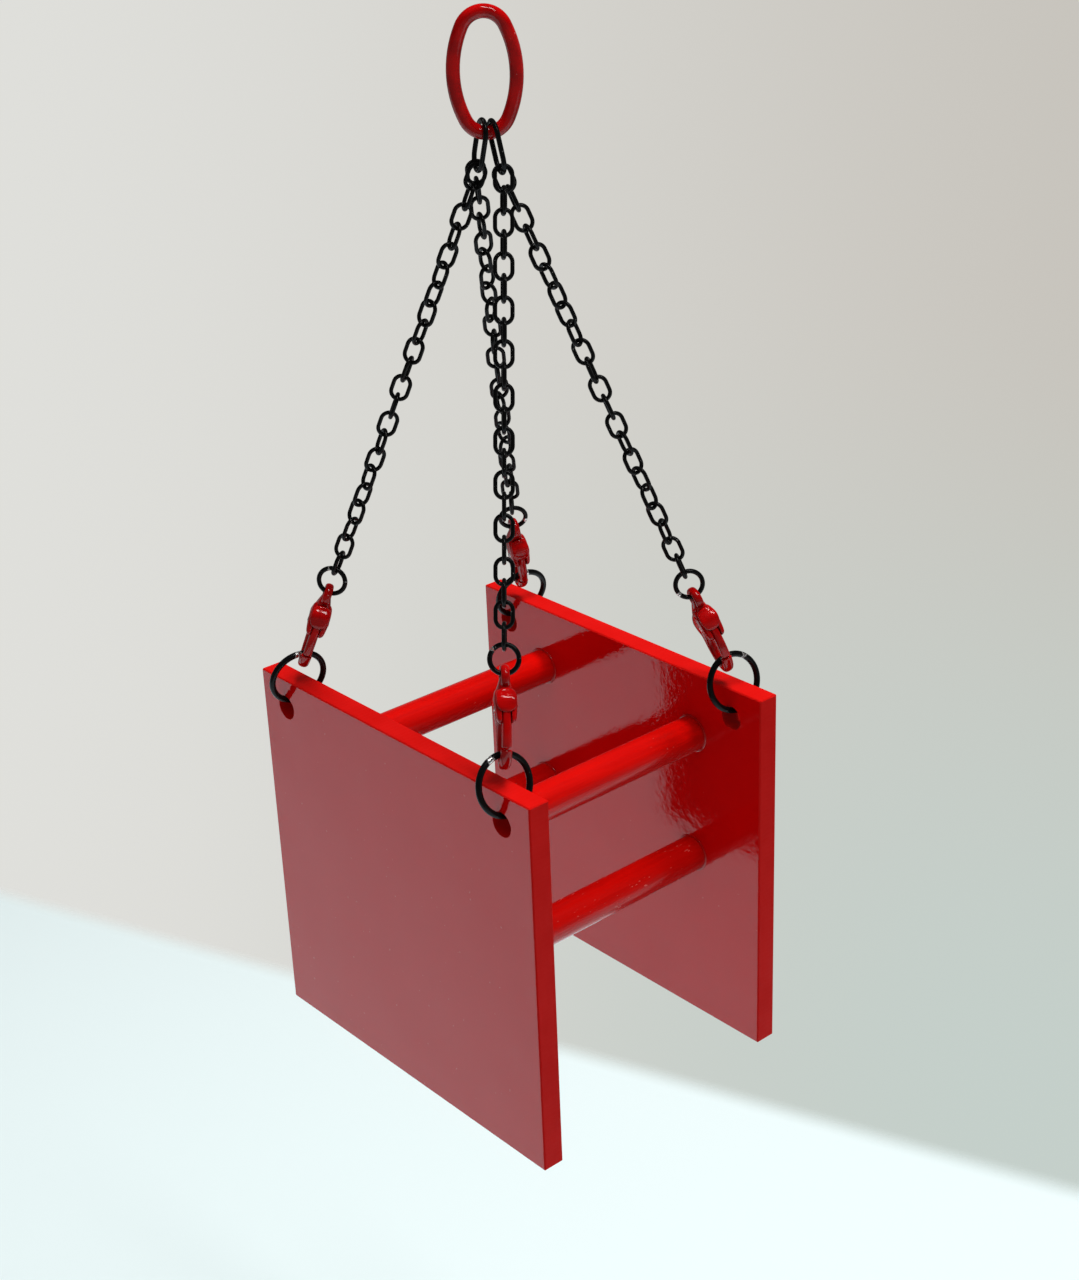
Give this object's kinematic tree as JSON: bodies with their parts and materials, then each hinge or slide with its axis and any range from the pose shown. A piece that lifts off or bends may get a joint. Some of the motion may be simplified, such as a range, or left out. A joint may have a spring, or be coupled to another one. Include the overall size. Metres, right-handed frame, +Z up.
{
  "type": "model trench shield on a chain sling",
  "caption": "Scale model of a trench box: two square side plates held apart by round rods, hung by clasps from a chain sling with one lifting ring.",
  "frame": {"origin": "crown inside the master ring, where the hook bears; the load hangs below it", "axes": "+Z up; +X along the side plates; +Y from the front plate to the rear plate"},
  "size_m": [0.053, 0.0458, 0.1343],
  "materials": {
    "red_acrylic": "polished cast acrylic sheet and rod, sawn edges",
    "coated_red_wire": "smooth glossy coat",
    "coated_red_casting": "glossy coat over a small casting",
    "coated_black_wire": "satin black coat, bare metal at the cut ends",
    "bright_steel": "plain bright steel"
  },
  "bodies": {
    "master_ring": {"master_ring": "coated_red_wire"},
    "connecting_links": {"connecting_link_left": "coated_black_wire", "connecting_link_right": "coated_black_wire"},
    "load": {"chain_front_left": "coated_black_wire", "chain_front_right": "coated_black_wire", "chain_rear_left": "coated_black_wire", "chain_rear_right": "coated_black_wire", "clasp_body_front_left": "coated_red_casting", "clasp_body_front_right": "coated_red_casting", "clasp_body_rear_left": "coated_red_casting", "clasp_body_rear_right": "coated_red_casting", "clasp_pin_front_left": "bright_steel", "clasp_pin_front_right": "bright_steel", "clasp_pin_rear_left": "bright_steel", "clasp_pin_rear_right": "bright_steel", "clasp_spring_front_left": "bright_steel", "clasp_spring_front_right": "bright_steel", "clasp_spring_rear_left": "bright_steel", "clasp_spring_rear_right": "bright_steel", "front_plate": "red_acrylic", "rear_plate": "red_acrylic", "spreader_rod_upper_left": "red_acrylic", "spreader_rod_upper_right": "red_acrylic", "spreader_rod_lower_left": "red_acrylic", "spreader_rod_lower_right": "red_acrylic"},
    "lever_front_left": {"clasp_lever_front_left": "coated_red_casting"},
    "lever_front_right": {"clasp_lever_front_right": "coated_red_casting"},
    "lever_rear_left": {"clasp_lever_rear_left": "coated_red_casting"},
    "lever_rear_right": {"clasp_lever_rear_right": "coated_red_casting"},
    "small_ring_front_left": {"small_ring_front_left": "coated_black_wire"},
    "small_ring_front_right": {"small_ring_front_right": "coated_black_wire"},
    "small_ring_rear_left": {"small_ring_rear_left": "coated_black_wire"},
    "small_ring_rear_right": {"small_ring_rear_right": "coated_black_wire"},
    "large_ring_front_left": {"large_ring_front_left": "coated_black_wire"},
    "large_ring_front_right": {"large_ring_front_right": "coated_black_wire"},
    "large_ring_rear_left": {"large_ring_rear_left": "coated_black_wire"},
    "large_ring_rear_right": {"large_ring_rear_right": "coated_black_wire"}
  },
  "joints": [
    {"name": "links_swing", "type": "hinge", "parent": "master_ring", "child": "connecting_links", "pos_m": [0, 0, -0.0126], "axis": [0.5446, 0.8387, 0], "range_deg": [-20, 20]},
    {"name": "load_swing", "type": "hinge", "parent": "connecting_links", "child": "load", "pos_m": [0, 0, -0.01691], "axis": [0.9837, 0.1796, 0], "range_deg": [-20, 20]},
    {"name": "lever_front_left", "type": "hinge", "parent": "load", "child": "lever_front_left", "pos_m": [-0.01731, -0.01725, -0.07332], "axis": [0.5855, 0.7175, -0.3774], "range_deg": [0, 24], "stiffness_Nm_per_rad": 0.0003, "springref_deg": -20.05},
    {"name": "lever_front_right", "type": "hinge", "parent": "load", "child": "lever_front_right", "pos_m": [0.01894, -0.017, -0.07291], "axis": [0.55, 0.8302, -0.0908], "range_deg": [0, 24], "stiffness_Nm_per_rad": 0.0003, "springref_deg": -20.05},
    {"name": "lever_rear_left", "type": "hinge", "parent": "load", "child": "lever_rear_left", "pos_m": [-0.01709, 0.01613, -0.07368], "axis": [0.4039, 0.9019, 0.1531], "range_deg": [0, 24], "stiffness_Nm_per_rad": 0.0003, "springref_deg": -20.05},
    {"name": "lever_rear_right", "type": "hinge", "parent": "load", "child": "lever_rear_right", "pos_m": [0.01907, 0.01616, -0.07311], "axis": [0.321, 0.8817, 0.3458], "range_deg": [0, 24], "stiffness_Nm_per_rad": 0.0003, "springref_deg": -20.05},
    {"name": "small_ring_spin_front_left", "type": "hinge", "parent": "load", "child": "small_ring_front_left", "pos_m": [-0.01659, -0.01511, -0.06812], "axis": [0.6246, -0.7801, 0.0368], "continuous": true},
    {"name": "small_ring_spin_front_right", "type": "hinge", "parent": "load", "child": "small_ring_front_right", "pos_m": [0.01666, -0.01497, -0.06812], "axis": [-0.6626, 0.6484, -0.3749], "continuous": true},
    {"name": "small_ring_spin_rear_left", "type": "hinge", "parent": "load", "child": "small_ring_rear_left", "pos_m": [-0.01658, 0.01497, -0.06815], "axis": [0.775, -0.5155, -0.3657], "continuous": true},
    {"name": "small_ring_spin_rear_right", "type": "hinge", "parent": "load", "child": "small_ring_rear_right", "pos_m": [0.01659, 0.01511, -0.06812], "axis": [0.82, -0.5665, 0.0818], "continuous": true},
    {"name": "large_ring_spin_front_left", "type": "hinge", "parent": "load", "child": "large_ring_front_left", "pos_m": [-0.02056, -0.01892, -0.08153], "axis": [-0.9571, 0.1688, 0.2355], "continuous": true},
    {"name": "large_ring_spin_front_right", "type": "hinge", "parent": "load", "child": "large_ring_front_right", "pos_m": [0.02041, -0.01892, -0.08157], "axis": [-0.9582, 0.0502, -0.2815], "continuous": true},
    {"name": "large_ring_spin_rear_left", "type": "hinge", "parent": "load", "child": "large_ring_rear_left", "pos_m": [-0.0203, 0.01892, -0.0816], "axis": [-0.937, 0.1652, 0.3077], "continuous": true},
    {"name": "large_ring_spin_rear_right", "type": "hinge", "parent": "load", "child": "large_ring_rear_right", "pos_m": [0.02056, 0.01892, -0.08153], "axis": [-0.9571, 0.1688, -0.2355], "continuous": true}
  ]
}
